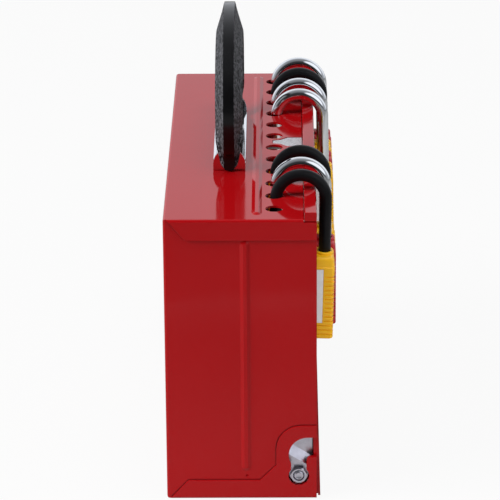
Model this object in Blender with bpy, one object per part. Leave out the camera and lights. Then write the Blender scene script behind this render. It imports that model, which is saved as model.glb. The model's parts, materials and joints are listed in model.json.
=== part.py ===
"""Group lockout box: folded steel case, hung front cover, loop handle and seven padlocks.

Metres, +Z up. X runs along the box, the front faces -Y, and the origin is the centre of the underside.
"""
import math

import bmesh
import bpy
from mathutils import Matrix, Vector

# Case
BOX_LENGTH = 0.2430
BOX_DEPTH = 0.0780
BOX_HEIGHT = 0.1550
SHEET = 0.0012
BEND_RADIUS = 0.0011
FLAP_HEIGHT = 0.0111
FLAP_MITRE_START = 0.0017
FLAP_MITRE_RUN = 0.0096
PANEL_SETBACK = 0.0066
FLAP_NOTCH_DROP = 0.0016
BEAD_WIDTH = 0.0052
BEAD_RISE = 0.0008
TOP_BEAD_SETBACK = 0.0305
TOP_BEAD_END_MARGIN = 0.0075
SIDE_BEAD_SETBACK = 0.0366
SIDE_BEAD_BOTTOM = 0.0154

# Padlock holes and the notch between the two middle ones
HOLE_COUNT = 12
HOLE_END_MARGIN = 0.016725
HOLE_RADIUS = 0.0046
HOLE_SETBACK = 0.0216
NOTCH_HALF_WIDTH = 0.00745
NOTCH_MOUTH_DEPTH = 0.0079
NOTCH_SHOULDER_DEPTH = 0.0119
NOTCH_DEPTH = 0.0159
NOTCH_NECK_HALF_WIDTH = 0.0036
NOTCH_END_HALF_WIDTH = 0.0026

# Hooked slots that the cover's pivots hang in
PIVOT_SETBACK = 0.0093
PIVOT_HEIGHT = 0.0129
POCKET_RADIUS = 0.0054
SLOT_NECK_WIDTH = 0.0080
SLOT_ARC_RADIUS = 0.0098
SLOT_ARC_SETBACK = 0.0047
SLOT_MOUTH_BOTTOM = 0.0236
SLOT_LOBE_RADIUS = 0.0021
GUARD_RADIUS = 0.0130
GUARD_SETBACK = 0.0080
GUARD_TOP = 0.0412
GUARD_FOOT = 0.0189
GUARD_RUN = 0.0085
LOW_FLAP_HEIGHT = 0.0104

# Clearances
SEAT_GAP = 0.0003
COVER_END_GAP = 0.0006
OVERRUN = 0.0040

# Front cover
COVER_FOOT = 0.0004
COVER_FOOT_PROUD = 0.0019
LEDGE_DROP = 0.0764
RECESS_SETBACK = 0.0297
RECESS_TOP_DROP = 0.0055
COVER_RETURN = 0.0030
RAIL_HEIGHT = 0.00485
RAIL_RISE = 0.00375
RAIL_FRONT_GAP = 0.00005
RAIL_PANEL_GAP = 0.0003
RAIL_END_INSET = 0.0005
RAIL_WEB_DROP = 0.0055
CATCH_DROP = 0.0004
CATCH_FLUSH = 0.0002
CATCH_HALF_WIDTH = 0.0110
CATCH_NECK_HALF_WIDTH = 0.0045
CATCH_NECK_SETBACK = 0.0160
CATCH_END_SETBACK = 0.0255

# Pivot arms and their fasteners
ARM_PAD_RADIUS = 0.0050
ARM_JOGGLE = 0.0030
ARM_STEM_BACK = 0.0130
ARM_FRONT_SETBACK = 0.0021
ARM_BACK_SETBACK = 0.0240
JOGGLE_LOW_HEIGHT = 0.0208
JOGGLE_HIGH_HEIGHT = 0.0262
JOGGLE_SLOPE = math.radians(32.0)
ARM_TAB = 0.0130
RIVET_RADIUS = 0.0020
RIVET_HEAD_RADIUS = 0.0035
RIVET_HEAD = 0.0012
RIVET_SPREAD = 0.0120
BOLT_RADIUS = 0.0025
BOLT_HEAD = 0.0033
NUT_ACROSS_FLATS = 0.0080
NUT_HEIGHT = 0.0024
BOLT_END_SHORT = 0.0001

# Handle and its bracket
HANDLE_SETBACK = 0.0452
HANDLE_AXIS_RISE = 0.0055
HANDLE_FOOT_SPAN = 0.0990
HANDLE_LENGTH = 0.1180
HANDLE_CREST = 0.0757
HANDLE_WIDEST = 0.0307
FOOT_THICKNESS = 0.0029
FOOT_RADIUS = 0.0050
FOOT_TOP_HALF = 0.0058
FOOT_HEIGHT = 0.0030
GRIP_START = 0.0066
GRIP_RIM_HALF = 0.0029
GRIP_SHOULDER_HALF = 0.0040
GRIP_SHOULDER_DEPTH = 0.0048
GRIP_FLANK_HALF = 0.0069
GRIP_FLANK_DEPTH = 0.0143
GRIP_HALF = 0.0076
GRIP_WIDEST_DEPTH = 0.0165
GRIP_INNER_HALF = 0.0045
GRIP_DEPTH = 0.0195
BRACKET_SHEET = 0.0015
BRACKET_WIDTH = 0.0170
BRACKET_OUTER = 0.0463
EAR_RISE = 0.0120
EAR_SHOULDER = 0.0034
BRACKET_EDGE_RISE = 0.0030
BRACKET_EDGE_LENGTH = 0.0740
ROD_RADIUS = 0.0020
ROD_INSET = 0.0012
BRACKET_RIVET_PITCH = 0.0220
BRACKET_RIVETS = 4

# Padlocks
PADLOCK_SETBACK = 0.0077
HANGS_OUT = math.radians(-0.8)
HANGS_PLUMB = 0.0
HANGS_IN = math.radians(1.5)
PADLOCK_DROP = 0.0758
PADLOCK_HEIGHT = 0.0450
PADLOCK_WIDTH = 0.0365
PADLOCK_SIDE_GAP = 0.00085
PADLOCK_TOP_CORNER = 0.0020
PADLOCK_FOOT_CORNER = 0.0010
PADLOCK_EDGE = 0.0008
SHACKLE_RADIUS = 0.00315
SHACKLE_SPAN = 0.0257
SHACKLE_CREST = 0.0144
HEEL_DEPTH = 0.0200
TOE_DEPTH = 0.0090
BORE_SPARE = 0.0010
COLLAR_RADIUS = 0.0048
COLLAR_RISE = 0.0012
LABEL_TOP_MARGIN = 0.0063
LABEL_FOOT_MARGIN = 0.0088
LABEL_SIDE_MARGIN = 0.0056
LABEL_RECESS = 0.0007
CYLINDER_RADIUS = 0.0062
CYLINDER_LENGTH = 0.0180
KEYWAY_LENGTH = 0.0080
KEYWAY_WIDTH = 0.0014
KEYWAY_DEPTH = 0.0030

# Padlocks from the far end: hole counted from the far end, body colour, shackle finish, lean
PADLOCKS = (
    (1, "red", "chrome", HANGS_OUT),
    (2, "yellow", "black", HANGS_OUT),
    (3, "red", "chrome", HANGS_OUT),
    (4, "yellow", "chrome", HANGS_OUT),
    (9, "yellow", "black", HANGS_PLUMB),
    (10, "red", "chrome", HANGS_PLUMB),
    (11, "yellow", "black", HANGS_IN),
)

# Shares of a form's own sizes, and angles
RIVET_CROWN_SHARE = 0.6
BEAD_FLANK_SHARE = 1 / 3
FOOT_RIM_SHARE = 0.9
FOOT_FLARE_SHARES = ((0.25, 0.25), (0.5, 0.5), (0.8, 1.0))
FOOT_INNER_SHARES = ((1.0, 0.95), (1.0, 1 / 3))
GRIP_INNER_SHARE = 1 / 3
FOOT_TURNS = (15, 35, 62, 90)
HANDLE_SHARP = math.radians(35.0)
SHACKLE_SHARP = math.radians(40.0)
CUT_TOLERANCE = 0.0000002

# Facets of round shapes
HOLE_FACETS = 20
ROD_FACETS = 12
ARC_STEPS = 6

# Places that follow from the sizes above
FRONT = -BOX_DEPTH / 2
BACK = BOX_DEPTH / 2
FLAP_OUTER = BOX_LENGTH / 2
WALL_OUTER = FLAP_OUTER - SHEET
WALL_INNER = WALL_OUTER - SHEET
PANEL_FRONT = FRONT + PANEL_SETBACK
PANEL_UNDER = BOX_HEIGHT - SHEET
PIVOT_Y = FRONT + PIVOT_SETBACK
COVER_OUTER = WALL_INNER - COVER_END_GAP
COVER_INNER = COVER_OUTER - SHEET
HANDLE_Y = FRONT + HANDLE_SETBACK
HANDLE_Z = BOX_HEIGHT + HANDLE_AXIS_RISE
HOLE_PITCH = (BOX_LENGTH - 2 * HOLE_END_MARGIN) / (HOLE_COUNT - 1)
PADLOCK_THICKNESS = HOLE_PITCH - PADLOCK_SIDE_GAP
COVER_LEDGE = BOX_HEIGHT - LEDGE_DROP
RECESS_TOP = BOX_HEIGHT - RECESS_TOP_DROP
RAIL_WEB_BOTTOM = BOX_HEIGHT - RAIL_WEB_DROP

PAINT = {
    "red_paint": ((0.48, 0.012, 0.018, 1.0), 0.18, 0.0),
    "zinc": ((0.62, 0.61, 0.63, 1.0), 0.32, 1.0),
    "chrome": ((0.80, 0.80, 0.82, 1.0), 0.08, 1.0),
    "black_grip": ((0.020, 0.020, 0.022, 1.0), 0.55, 0.0),
    "black_coat": ((0.012, 0.012, 0.013, 1.0), 0.45, 0.0),
    "yellow_plastic": ((0.86, 0.50, 0.03, 1.0), 0.42, 0.0),
    "red_plastic": ((0.55, 0.02, 0.03, 1.0), 0.42, 0.0),
    "blank_label": ((0.85, 0.85, 0.85, 1.0), 0.35, 0.0),
    "brass": ((0.70, 0.48, 0.20, 1.0), 0.30, 1.0),
}


def clear_scene():
    for thing in list(bpy.data.objects):
        bpy.data.objects.remove(thing, do_unlink=True)


def paint(name):
    """The named material, made once."""
    found = bpy.data.materials.get(name)
    if found:
        return found
    colour, roughness, metallic = PAINT[name]
    made = bpy.data.materials.new(name)
    made.use_nodes = True
    shader = made.node_tree.nodes["Principled BSDF"]
    shader.inputs["Base Color"].default_value = colour
    shader.inputs["Roughness"].default_value = roughness
    shader.inputs["Metallic"].default_value = metallic
    made.diffuse_color = colour
    return made


def place(name, bm, finish=None, parent=None, origin=(0, 0, 0)):
    """Turn a bmesh, given in the parent's frame, into an object whose own origin is at origin."""
    bmesh.ops.recalc_face_normals(bm, faces=bm.faces)
    bmesh.ops.translate(bm, verts=bm.verts, vec=-Vector(origin))
    mesh = bpy.data.meshes.new(name)
    bm.to_mesh(mesh)
    bm.free()
    thing = bpy.data.objects.new(name, mesh)
    bpy.context.scene.collection.objects.link(thing)
    thing.location = origin
    thing.parent = parent
    if finish:
        mesh.materials.append(paint(finish))
    return thing


def frame_at(name, location, lean=0):
    """An empty that carries pieces which move together."""
    empty = bpy.data.objects.new(name, None)
    empty.location = location
    empty.rotation_euler = (lean, 0, 0)
    bpy.context.scene.collection.objects.link(empty)
    return empty


def to_point(axis, along, a, b):
    """A point from its place along an axis and its two other coordinates, in X, Y, Z order."""
    if axis == "X":
        return Vector((along, a, b))
    if axis == "Y":
        return Vector((a, along, b))
    return Vector((a, b, along))


def add_prism(bm, outline, axis, low, high):
    """Add the closed prism of an outline between two places on an axis."""
    ends = []
    for along in (low, high):
        ends.append([bm.verts.new(to_point(axis, along, a, b)) for a, b in outline])
    count = len(outline)
    bm.faces.new(ends[0])
    bm.faces.new(list(reversed(ends[1])))
    for i in range(count):
        j = (i + 1) % count
        bm.faces.new((ends[0][i], ends[1][i], ends[1][j], ends[0][j]))
    return ends


def prism(outline, axis, low, high):
    bm = bmesh.new()
    add_prism(bm, outline, axis, low, high)
    return bm


def box(low, high):
    (x0, y0, z0), (x1, y1, z1) = low, high
    return prism([(y0, z0), (y1, z0), (y1, z1), (y0, z1)], "X", x0, x1)


def arc(centre, radius, start, end, steps=ARC_STEPS, rise=None):
    """Points of an arc, in degrees; rise makes it an ellipse's."""
    points = []
    for i in range(steps + 1):
        turn = math.radians(start + (end - start) * i / steps)
        points.append((centre[0] + radius * math.cos(turn),
                       centre[1] + (rise or radius) * math.sin(turn)))
    return points


def close_tube(bm, rings):
    """Faces along a row of rings with as many points each, and across its two ends."""
    count = len(rings[0])
    bm.faces.new(rings[0])
    bm.faces.new(list(reversed(rings[-1])))
    for lower, upper in zip(rings, rings[1:]):
        for i in range(count):
            j = (i + 1) % count
            bm.faces.new((lower[i], lower[j], upper[j], upper[i]))


def turned(axis, centre, steps):
    """Solid turned about a line along an axis; each step is a radius and a place along it."""
    bm = bmesh.new()
    rings = []
    for radius, along in steps:
        ring = circle(centre, radius, ROD_FACETS)
        rings.append([bm.verts.new(to_point(axis, along, a, b)) for a, b in ring])
    close_tube(bm, rings)
    return bm


def circle(centre, radius, facets):
    half_facet = 180 / facets
    return arc(centre, radius, half_facet, 360 - half_facet, facets - 1)


def mirrored(outline):
    """The outline followed back by its own mirror image across its first axis."""
    return outline + [(a, -b) for a, b in reversed(outline)]


def shape_with(thing, bm, operation, name):
    """Join or cut a helper solid with a Boolean; the helper stays hidden."""
    helper = place(thing.name + "_" + name, bm, parent=thing.parent)
    helper.hide_render = True
    helper.display_type = "WIRE"
    step = thing.modifiers.new(name, "BOOLEAN")
    step.operation = operation
    step.solver = "EXACT"
    step.object = helper
    helper.hide_set(True)


def soften(bm, width, segments, wanted):
    """Bevel the edges for which wanted is true."""
    edges = [e for e in bm.edges if wanted(e.verts[0].co, e.verts[1].co)]
    bmesh.ops.bevel(bm, geom=edges, offset=width, segments=segments, profile=0.5, affect="EDGES")


def hole_x(number):
    """Place along the box of a padlock hole, counted from the far end."""
    return ((HOLE_COUNT + 1) / 2 - number) * HOLE_PITCH


def slot_outline():
    """Hooked slot: in from the front, back round an arc, then down a neck to the pocket."""
    half_neck = SLOT_NECK_WIDTH / 2
    arc_y = FRONT + SLOT_ARC_SETBACK
    mouth_top = SLOT_MOUTH_BOTTOM + SLOT_ARC_RADIUS + SHEET
    arc_centre = (arc_y, mouth_top - SLOT_ARC_RADIUS)
    neck_back = PIVOT_Y + half_neck
    neck_front = PIVOT_Y - half_neck
    meet = math.degrees(math.acos((neck_back - arc_y) / SLOT_ARC_RADIUS))
    pocket_meet = math.degrees(math.acos(half_neck / POCKET_RADIUS))
    lobe_centre = (neck_front - SLOT_LOBE_RADIUS, SLOT_MOUTH_BOTTOM - SLOT_LOBE_RADIUS)
    outline = [(FRONT - OVERRUN, mouth_top)]
    outline += arc(arc_centre, SLOT_ARC_RADIUS, 90, -meet, 2 * ARC_STEPS)
    outline += arc((PIVOT_Y, PIVOT_HEIGHT), POCKET_RADIUS, pocket_meet, pocket_meet - 360
                   + 2 * (90 - pocket_meet), 2 * ARC_STEPS)
    outline += arc(lobe_centre, SLOT_LOBE_RADIUS, 0, 90, ARC_STEPS // 2)
    outline.append((FRONT - OVERRUN, SLOT_MOUTH_BOTTOM))
    return outline


def top_flap_outline():
    low = BOX_HEIGHT - FLAP_HEIGHT
    start = BACK - FLAP_MITRE_START
    return [(start, BOX_HEIGHT), (start - FLAP_MITRE_RUN, low), (FRONT, low),
            (FRONT, BOX_HEIGHT - FLAP_NOTCH_DROP), (PANEL_FRONT, BOX_HEIGHT - FLAP_NOTCH_DROP),
            (PANEL_FRONT, BOX_HEIGHT)]


def low_flap_outline():
    start = BACK - FLAP_MITRE_START
    guard_y = FRONT + GUARD_SETBACK
    guard_back = guard_y + GUARD_RADIUS
    outline = [(FRONT, 0), (start, 0), (start - FLAP_MITRE_RUN, LOW_FLAP_HEIGHT),
               (guard_back + GUARD_RUN, LOW_FLAP_HEIGHT), (guard_back, GUARD_FOOT)]
    outline += arc((guard_y, GUARD_TOP - GUARD_RADIUS), GUARD_RADIUS, 0, 90)
    outline.append((FRONT, GUARD_TOP))
    return outline


def bead_outline(centre, low, high, inner):
    """Plan of a pressed bead along the second axis, with round ends; inner is its half width."""
    return (arc((centre, high - inner), inner, 0, 180, ARC_STEPS)
            + arc((centre, low + inner), inner, 180, 360, ARC_STEPS))


def bead_solid(axis, centre, low, high, surface, rise):
    """Bead on a surface, from half a sheet below it: sloping flanks up to a narrower crest."""
    narrow_by = BEAD_WIDTH * BEAD_FLANK_SHARE
    wide = bead_outline(centre, low, high, BEAD_WIDTH / 2)
    narrow = bead_outline(centre, low + narrow_by, high - narrow_by, BEAD_WIDTH / 2 - narrow_by)
    bm = bmesh.new()
    rings = []
    for points, level in ((wide, surface - math.copysign(SHEET / 2, rise)), (wide, surface),
                          (narrow, surface + rise)):
        turned_points = [(along, across) if axis == "Z" else (across, along) for across, along in points]
        rings.append([bm.verts.new(to_point(axis, level, a, b)) for a, b in turned_points])
    close_tube(bm, rings)
    return bm


def add_beads(case):
    """Stiffening beads pressed outward: one along the top and one down each end wall."""
    top_y = FRONT + TOP_BEAD_SETBACK
    side_y = FRONT + SIDE_BEAD_SETBACK
    reach = FLAP_OUTER - TOP_BEAD_END_MARGIN
    low, high = SIDE_BEAD_BOTTOM, BOX_HEIGHT - FLAP_HEIGHT - SEAT_GAP
    for operation, top, wall, word in (("UNION", BOX_HEIGHT, WALL_OUTER, "ridge"),
                                       ("DIFFERENCE", PANEL_UNDER, WALL_INNER, "hollow")):
        bead = bead_solid("Z", top_y, -reach, reach, top, BEAD_RISE)
        shape_with(case, bead, operation, "top_" + word)
        for side, name in ((-1, "near"), (1, "far")):
            bead = bead_solid("X", side_y, low, high, side * wall, side * BEAD_RISE)
            shape_with(case, bead, operation, name + "_" + word)


def bracket_rivet_places():
    middle = (BRACKET_RIVETS - 1) / 2
    return [(i - middle) * BRACKET_RIVET_PITCH for i in range(BRACKET_RIVETS)]


def build_case():
    """One folded blank: back, top, bottom and end walls, with the flaps welded outside the ends."""
    outer = box((-WALL_OUTER, FRONT, 0), (WALL_OUTER, BACK, BOX_HEIGHT))
    edge = BACK - SEAT_GAP
    soften(outer, BEND_RADIUS, 2, lambda a, b: a.y > edge and b.y > edge)
    case = place("case_shell", outer, "red_paint")
    for side, name in ((-1, "near"), (1, "far")):
        ends = sorted((side * (WALL_OUTER - SHEET / 2), side * FLAP_OUTER))
        for outline, level in ((top_flap_outline(), BOX_HEIGHT), (low_flap_outline(), 0)):
            flap = prism(outline, "X", *ends)
            rim = side * FLAP_OUTER
            soften(flap, BEND_RADIUS, 2,
                   lambda a, b: all(abs(p.z - level) < SEAT_GAP and abs(p.x - rim) < SEAT_GAP
                                    for p in (a, b)))
            shape_with(case, flap, "UNION", name + ("_top_flap" if level else "_low_flap"))
    inside = box((-WALL_INNER, FRONT - OVERRUN, SHEET), (WALL_INNER, BACK - SHEET, PANEL_UNDER))
    shape_with(case, inside, "DIFFERENCE", "inside")
    step = box((-FLAP_OUTER - OVERRUN, FRONT - OVERRUN, BOX_HEIGHT - FLAP_NOTCH_DROP),
               (FLAP_OUTER + OVERRUN, PANEL_FRONT, BOX_HEIGHT + OVERRUN))
    shape_with(case, step, "DIFFERENCE", "front_step")
    lip_gap = box((-WALL_INNER, FRONT - OVERRUN, PANEL_UNDER - OVERRUN),
                  (WALL_INNER, PANEL_FRONT, BOX_HEIGHT + OVERRUN))
    shape_with(case, lip_gap, "DIFFERENCE", "rail_gap")
    add_beads(case)
    holes = bmesh.new()
    for number in range(1, HOLE_COUNT + 1):
        ring = circle((hole_x(number), FRONT + HOLE_SETBACK), HOLE_RADIUS, HOLE_FACETS)
        add_prism(holes, ring, "Z", PANEL_UNDER - OVERRUN / 2, BOX_HEIGHT + OVERRUN / 2)
    shape_with(case, holes, "DIFFERENCE", "padlock_holes")
    notch = prism(notch_outline(), "Z", PANEL_UNDER - OVERRUN / 2, BOX_HEIGHT + OVERRUN / 2)
    shape_with(case, notch, "DIFFERENCE", "notch")
    slots = bmesh.new()
    for side in (-1, 1):
        add_prism(slots, slot_outline(), "X", *sorted((side * (WALL_INNER - OVERRUN),
                                                       side * (FLAP_OUTER + OVERRUN))))
    shape_with(case, slots, "DIFFERENCE", "pivot_slots")
    shape_with(case, rivet_holes([(x, HANDLE_Y) for x in bracket_rivet_places()], PANEL_UNDER, BOX_HEIGHT),
               "DIFFERENCE", "bracket_holes")
    return case


def rivet_holes(places, low, high):
    """Cutter of clearance holes for rivets, a little past both faces of a sheet."""
    bm = bmesh.new()
    for place_xy in places:
        ring = circle(place_xy, RIVET_RADIUS + SEAT_GAP, ROD_FACETS)
        add_prism(bm, ring, "Z", low - OVERRUN / 2, high + OVERRUN / 2)
    return bm


def build_bracket():
    """Pressed steel bracket on the top panel: a strip with low edges and a domed ear at each end."""
    half = BRACKET_WIDTH / 2
    foot = BOX_HEIGHT + SEAT_GAP
    top = foot + BRACKET_SHEET
    inner = BRACKET_OUTER - BRACKET_SHEET / 2
    strip = box((-inner, HANDLE_Y - half, foot), (inner, HANDLE_Y + half, top))
    bracket = place("handle_bracket", strip, "chrome")
    outline = [(HANDLE_Y - half, foot), (HANDLE_Y + half, foot)]
    outline += arc((HANDLE_Y, foot + EAR_SHOULDER), half, 0, 180, 2 * ARC_STEPS, EAR_RISE - EAR_SHOULDER)
    for side, name in ((-1, "near"), (1, "far")):
        ear = prism(outline, "X", *sorted((side * BRACKET_OUTER, side * (BRACKET_OUTER - BRACKET_SHEET))))
        shape_with(bracket, ear, "UNION", name + "_ear")
        edge = box((-BRACKET_EDGE_LENGTH / 2, HANDLE_Y + side * half - (side + 1) / 2 * BRACKET_SHEET, foot),
                   (BRACKET_EDGE_LENGTH / 2, HANDLE_Y + side * half - (side - 1) / 2 * BRACKET_SHEET,
                    foot + BRACKET_EDGE_RISE))
        shape_with(bracket, edge, "UNION", name + "_edge")
    rod_ring = circle((HANDLE_Y, HANDLE_Z), ROD_RADIUS + SEAT_GAP, ROD_FACETS)
    shape_with(bracket, prism(rod_ring, "X", -BRACKET_OUTER - OVERRUN, BRACKET_OUTER + OVERRUN),
               "DIFFERENCE", "rod_holes")
    places = [(x, HANDLE_Y) for x in bracket_rivet_places()]
    shape_with(bracket, rivet_holes(places, foot, top), "DIFFERENCE", "rivet_holes")
    for order, centre in enumerate(places, start=1):
        head = top + SEAT_GAP
        tail = PANEL_UNDER - SEAT_GAP
        crown = RIVET_HEAD_RADIUS * RIVET_CROWN_SHARE
        rivet = turned("Z", centre, ((crown, head + RIVET_HEAD), (RIVET_HEAD_RADIUS, head),
                                     (RIVET_RADIUS, head), (RIVET_RADIUS, tail),
                                     (RIVET_HEAD_RADIUS, tail), (crown, tail - RIVET_HEAD)))
        place("bracket_rivet_%d" % order, rivet, "chrome")


def handle_sections():
    """Rim points in the handle's frame, outward directions, and each section's outline there."""
    grip = ((0, GRIP_RIM_HALF), (GRIP_SHOULDER_DEPTH, GRIP_SHOULDER_HALF),
            (GRIP_FLANK_DEPTH, GRIP_FLANK_HALF), (GRIP_WIDEST_DEPTH, GRIP_HALF),
            (GRIP_DEPTH, GRIP_INNER_HALF), (GRIP_DEPTH, GRIP_INNER_HALF * GRIP_INNER_SHARE))
    foot_x = HANDLE_FOOT_SPAN / 2
    side = []
    turns = [math.radians(a) for a in FOOT_TURNS]
    feet = [(-FOOT_RADIUS * math.cos(turn), FOOT_RADIUS * math.sin(turn)) for turn in turns]
    feet.append((FOOT_HEIGHT, FOOT_TOP_HALF))
    for height, half in feet:
        rim = min(GRIP_RIM_HALF, half * FOOT_RIM_SHARE)
        deep = FOOT_THICKNESS
        outline = [(0, rim)]
        outline += [(deep * a, rim + (half - rim) * b) for a, b in FOOT_FLARE_SHARES]
        outline += [(deep * a, half * b) for a, b in FOOT_INNER_SHARES]
        side.append((Vector((foot_x, 0, height)), Vector((1, 0, 0)), outline))
    middle = HANDLE_WIDEST - HANDLE_AXIS_RISE
    rise = HANDLE_CREST - HANDLE_WIDEST
    reach = HANDLE_LENGTH / 2
    start = math.asin((GRIP_START - middle) / rise)
    steps = 2 * ARC_STEPS
    for i in range(steps + 1):
        turn = start + (math.pi / 2 - start) * i / steps
        point = Vector((reach * math.cos(turn), 0, middle + rise * math.sin(turn)))
        out = Vector((math.cos(turn) * rise, 0, math.sin(turn) * reach)).normalized()
        room = (point.x - foot_x + FOOT_THICKNESS) / out.x / GRIP_DEPTH if i == 0 else 1
        side.append((point, out, [(deep * room, half) for deep, half in grip]))
    flip = Vector((-1, 1, 1))
    return side + [(point * flip, out * flip, outline) for point, out, outline in reversed(side[:-1])]


def build_handle():
    """Moulded loop on a rod: a smooth rim, flanks that widen inward, and a flat foot at each end."""
    bm = bmesh.new()
    rings = []
    for rim, out, outline in handle_sections():
        rings.append([bm.verts.new(rim - out * deep + Vector((0, across, 0)))
                      for deep, across in mirrored(list(outline))])
    close_tube(bm, rings)
    axis = frame_at("handle_axis", (0, HANDLE_Y, HANDLE_Z))
    handle = place("handle_loop", bm, "black_grip", axis)
    end = HANDLE_FOOT_SPAN / 2 - ROD_INSET
    bore = prism(circle((0, 0), ROD_RADIUS + SEAT_GAP, ROD_FACETS), "X", -end - SEAT_GAP, end + SEAT_GAP)
    shape_with(handle, bore, "DIFFERENCE", "rod_bores")
    handle.data.shade_smooth()
    handle.data.set_sharp_from_angle(angle=HANDLE_SHARP)
    place("handle_rod", turned("X", (0, 0), ((ROD_RADIUS, -end), (ROD_RADIUS, end))), "chrome", axis)


def cover_line(height):
    """Place of the lower cover's front face at a height: it leans out towards its foot."""
    share = (height - COVER_FOOT) / (COVER_LEDGE - COVER_FOOT)
    return FRONT - COVER_FOOT_PROUD * (1 - share) - RAIL_FRONT_GAP


def build_cover_panel(hinge):
    """One folded sheet: lower front, ledge for the padlocks, recess wall and two end cheeks."""
    recess = FRONT + RECESS_SETBACK
    under = COVER_LEDGE - SHEET
    profile = [(cover_line(COVER_FOOT), COVER_FOOT), (cover_line(COVER_LEDGE), COVER_LEDGE),
               (recess, COVER_LEDGE), (recess, RECESS_TOP), (recess + SHEET, RECESS_TOP),
               (recess + SHEET, under), (cover_line(under) + SHEET, under),
               (cover_line(COVER_FOOT) + SHEET, COVER_FOOT)]
    panel = place("cover_panel", prism(profile, "X", -COVER_OUTER, COVER_OUTER), "red_paint", hinge)
    web_back = FRONT + RAIL_FRONT_GAP + SHEET + SEAT_GAP
    rail_back = PANEL_FRONT - RAIL_PANEL_GAP - SHEET - SEAT_GAP
    head = BOX_HEIGHT + RAIL_RISE - SHEET - SEAT_GAP
    cheek = [(FRONT + SEAT_GAP, under + SHEET / 2), (recess + SHEET / 2, under + SHEET / 2),
             (recess + SHEET / 2, RECESS_TOP),
             (rail_back + COVER_RETURN, RECESS_TOP), (rail_back, RECESS_TOP + COVER_RETURN),
             (rail_back, head), (web_back, head), (web_back, RAIL_WEB_BOTTOM - SEAT_GAP),
             (FRONT + SEAT_GAP, RAIL_WEB_BOTTOM - SEAT_GAP)]
    low = SHEET + SEAT_GAP
    edge = [(cover_line(low) + SHEET / 2, low), (cover_line(under) + SHEET / 2, under + SHEET / 2),
            (cover_line(under) + COVER_RETURN, under + SHEET / 2), (cover_line(low) + COVER_RETURN, low)]
    for side, name in ((-1, "near"), (1, "far")):
        ends = sorted((side * COVER_OUTER, side * COVER_INNER))
        shape_with(panel, prism(cheek, "X", *ends), "UNION", name + "_cheek")
        shape_with(panel, prism(edge, "X", *ends), "UNION", name + "_return")
    places = [spot for spots in arm_rivet_places().values() for spot in spots]
    shape_with(panel, rivet_holes(places, under, COVER_LEDGE), "DIFFERENCE", "rivet_holes")


def build_top_rail(hinge):
    """Inverted channel across the top of the cover, which the shackles close round."""
    front = FRONT + RAIL_FRONT_GAP
    back = PANEL_FRONT - RAIL_PANEL_GAP
    head = BOX_HEIGHT + RAIL_RISE
    low = head - RAIL_HEIGHT
    reach = FLAP_OUTER - RAIL_END_INSET
    channel = [(front, low), (front, head), (back, head), (back, low), (back - SHEET, low),
               (back - SHEET, head - SHEET), (front + SHEET, head - SHEET), (front + SHEET, low)]
    bm = prism(channel, "X", -reach, reach)
    soften(bm, BEND_RADIUS / 2, 2, lambda a, b: min(a.z, b.z) > head - SEAT_GAP and a.y == b.y)
    rail = place("cover_top_rail", bm, "red_paint", hinge)
    web = box((-COVER_OUTER, front, RAIL_WEB_BOTTOM), (COVER_OUTER, front + SHEET, low + SHEET))
    shape_with(rail, web, "UNION", "web")
    for side, name in ((-1, "near"), (1, "far")):
        ends = sorted((side * reach, side * (reach - SHEET)))
        cap = box((ends[0], front + SHEET / 2, low), (ends[1], back - SHEET / 2, head - SHEET / 2))
        shape_with(rail, cap, "UNION", name + "_cap")


def notch_outline(gap=0):
    """Bottle-shaped notch, open at the panel's front edge; gap shrinks it for what fills it."""
    half = [(PANEL_FRONT - OVERRUN if not gap else PANEL_FRONT, NOTCH_HALF_WIDTH - gap),
            (PANEL_FRONT + NOTCH_MOUTH_DEPTH - gap, NOTCH_HALF_WIDTH - gap),
            (PANEL_FRONT + NOTCH_SHOULDER_DEPTH - gap, NOTCH_NECK_HALF_WIDTH - gap),
            (PANEL_FRONT + NOTCH_DEPTH - gap, NOTCH_END_HALF_WIDTH - gap)]
    return [(b, a) for a, b in mirrored(half)]


def build_catch(hinge):
    """Cast tongue on the cover: it reaches under the top panel and fills the notch flush."""
    top = PANEL_UNDER - CATCH_DROP
    tab_front = FRONT + RAIL_FRONT_GAP + SHEET + SEAT_GAP
    half = [(tab_front, CATCH_HALF_WIDTH), (FRONT + CATCH_NECK_SETBACK, CATCH_HALF_WIDTH),
            (FRONT + CATCH_NECK_SETBACK, CATCH_NECK_HALF_WIDTH),
            (FRONT + CATCH_END_SETBACK, CATCH_NECK_HALF_WIDTH)]
    tongue = prism([(b, a) for a, b in mirrored(half)], "Z", top - SHEET, top)
    catch = place("cover_catch", tongue, "zinc", hinge)
    boss = prism(notch_outline(SEAT_GAP), "Z", top - SHEET / 2, BOX_HEIGHT - CATCH_FLUSH)
    shape_with(catch, boss, "UNION", "boss")
    tab = box((-CATCH_HALF_WIDTH, tab_front, top - SHEET / 2),
              (CATCH_HALF_WIDTH, tab_front + SHEET, BOX_HEIGHT + RAIL_RISE - SHEET - SEAT_GAP))
    shape_with(catch, tab, "UNION", "tab")


def arm_rivet_places():
    """Plan positions of the rivets that hold the arms' tabs under the ledge, for each arm."""
    middle = FRONT + (ARM_FRONT_SETBACK + ARM_BACK_SETBACK) / 2
    x = COVER_INNER - ARM_JOGGLE - ARM_TAB / 2
    ends = (middle - RIVET_SPREAD / 2, middle + RIVET_SPREAD / 2)
    return {"near": [(-x, y) for y in ends], "far": [(x, y) for y in ends]}


def joggle_shift(y, z):
    """How far a point of an arm has stepped inward: none by the pivot, all of it higher up."""
    rise = (z - PIVOT_HEIGHT) + (PIVOT_Y - y) * math.tan(JOGGLE_SLOPE)
    low = JOGGLE_LOW_HEIGHT - PIVOT_HEIGHT
    high = JOGGLE_HIGH_HEIGHT - PIVOT_HEIGHT
    return ARM_JOGGLE * min(1, max(0, (rise - low) / (high - low)))


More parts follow.
